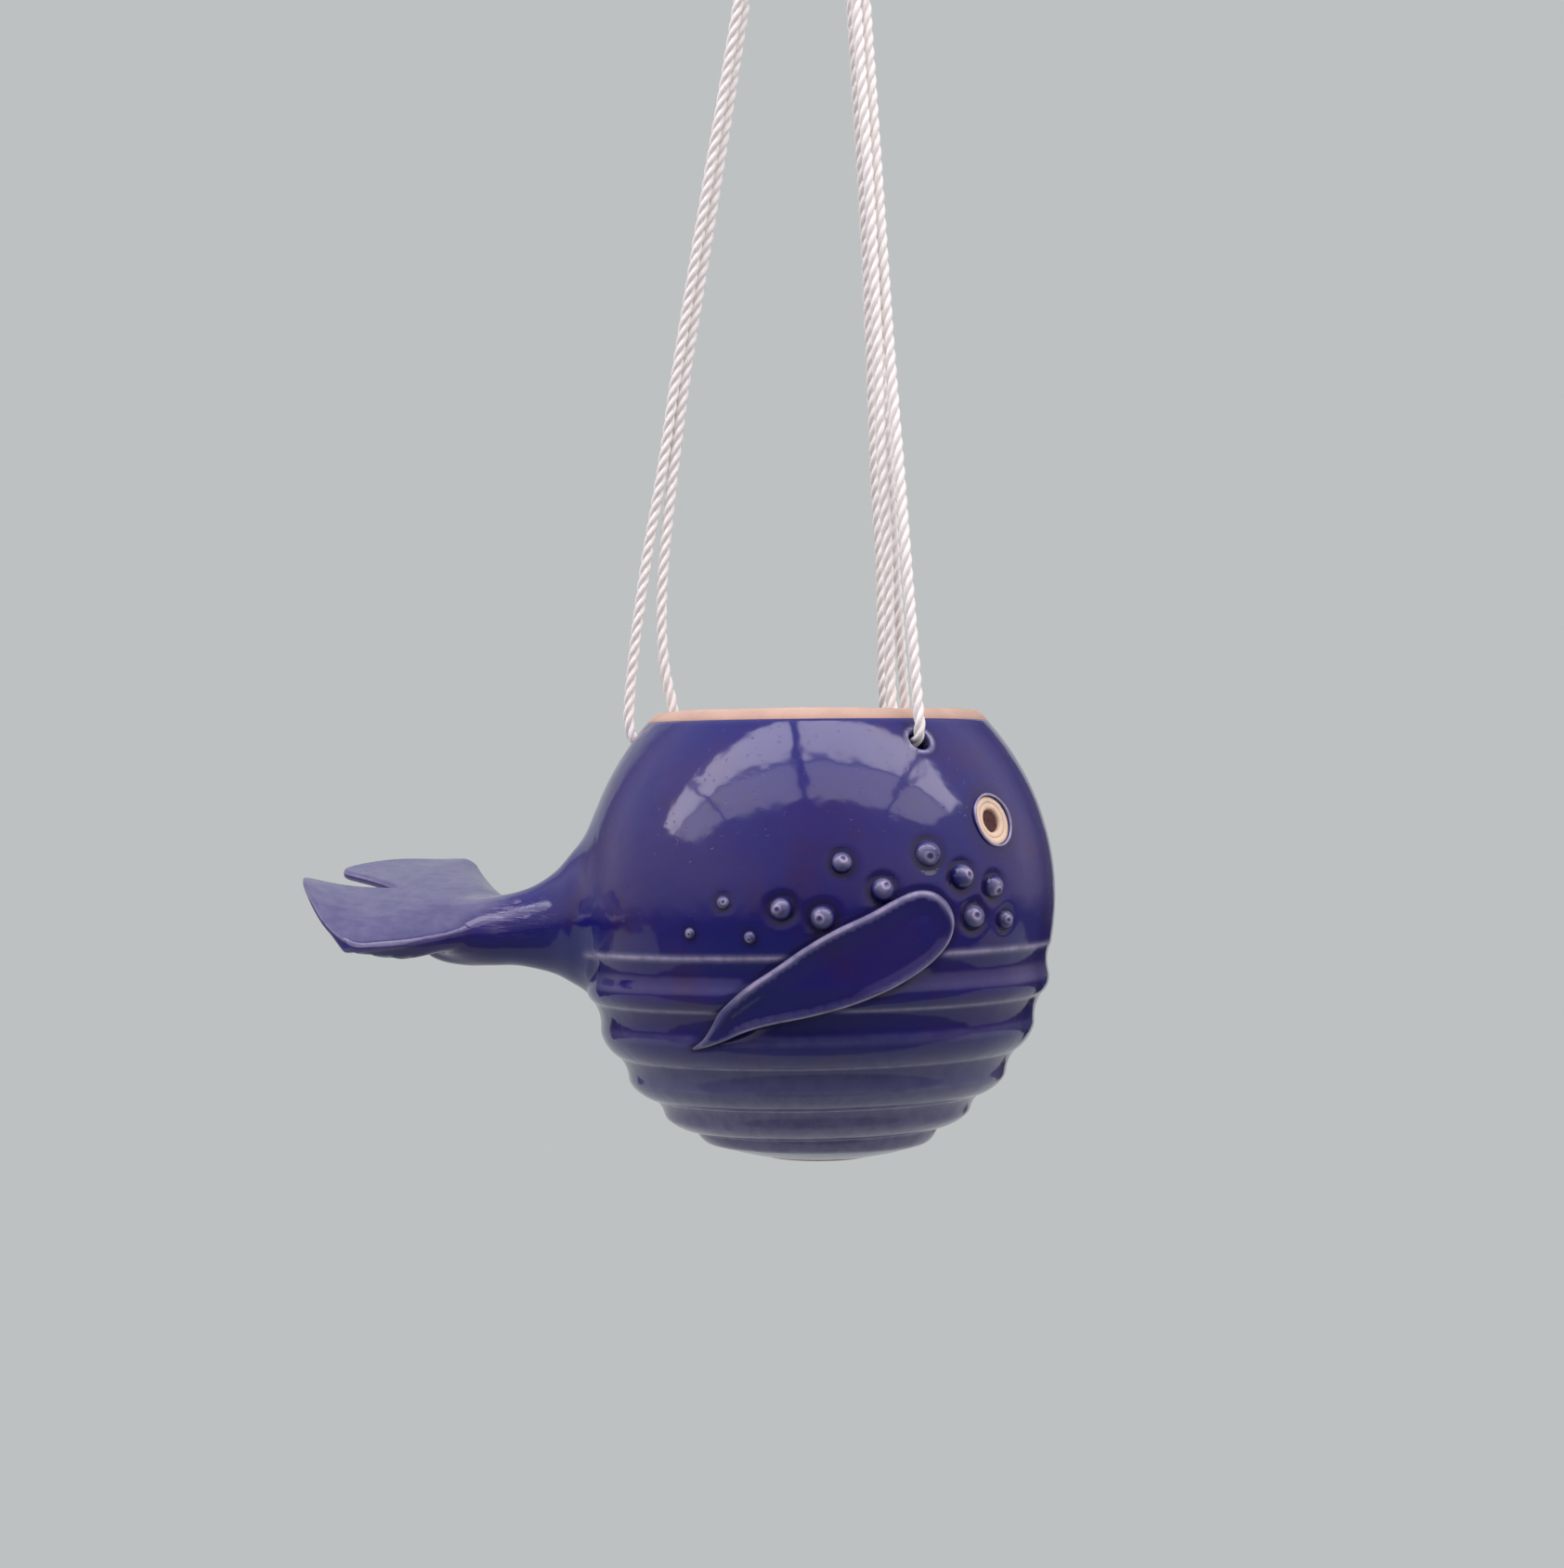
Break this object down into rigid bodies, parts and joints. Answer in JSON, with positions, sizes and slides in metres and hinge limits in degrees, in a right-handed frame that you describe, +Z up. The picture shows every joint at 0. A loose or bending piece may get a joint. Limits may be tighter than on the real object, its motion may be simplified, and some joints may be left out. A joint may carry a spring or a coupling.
{
  "type": "hanging air plant holder",
  "caption": "Round glazed whale-shaped stoneware pot with an open top, side fins and a raised fluked tail, hung on doubled twisted cords from a knot and a small steel ring.",
  "frame": {"origin": "the top inside of the steel ring, where a hook bears", "axes": "+Z up, +X the way the whale faces, so its right side faces -Y"},
  "size_m": [0.1917, 0.1246, 0.463],
  "materials": {
    "glaze": "gloss",
    "bare_clay": "matte",
    "eye_clay": "matte",
    "pupil_clay": "matte",
    "cord": "matte",
    "steel": "satin"
  },
  "bodies": {
    "ring": {"steel_ring": "steel"},
    "loop": {"hanging_loop": "cord"},
    "knot": {"top_knot": "cord", "cord_ends": "cord"},
    "planter": {"pot_body": "glaze", "bare_rim": "bare_clay", "bare_foot": "bare_clay", "tail_stock": "glaze", "tail_flukes": "glaze", "right_fin": "glaze", "left_fin": "glaze", "right_eye_lip": "glaze", "left_eye_lip": "glaze", "right_eye_ring": "eye_clay", "left_eye_ring": "eye_clay", "right_pupil": "pupil_clay", "left_pupil": "pupil_clay", "right_barnacles": "glaze", "left_barnacles": "glaze", "cord_front_right": "cord", "cord_front_left": "cord", "cord_tail": "cord"}
  },
  "joints": [
    {"name": "swing_side", "type": "hinge", "parent": "ring", "child": "loop", "pos_m": [0, 0, -0.01675], "axis": [1, 0, 0], "range_deg": [-20, 20]},
    {"name": "spin", "type": "hinge", "parent": "loop", "child": "knot", "pos_m": [0.0014, 0, -0.0423], "axis": [0, 0, 1], "range_deg": [-90, 90], "stiffness_Nm_per_rad": 0.01},
    {"name": "swing_fore_aft", "type": "hinge", "parent": "knot", "child": "planter", "pos_m": [0.0014, 0, -0.0503], "axis": [0, 1, 0], "range_deg": [-15, 15]}
  ]
}
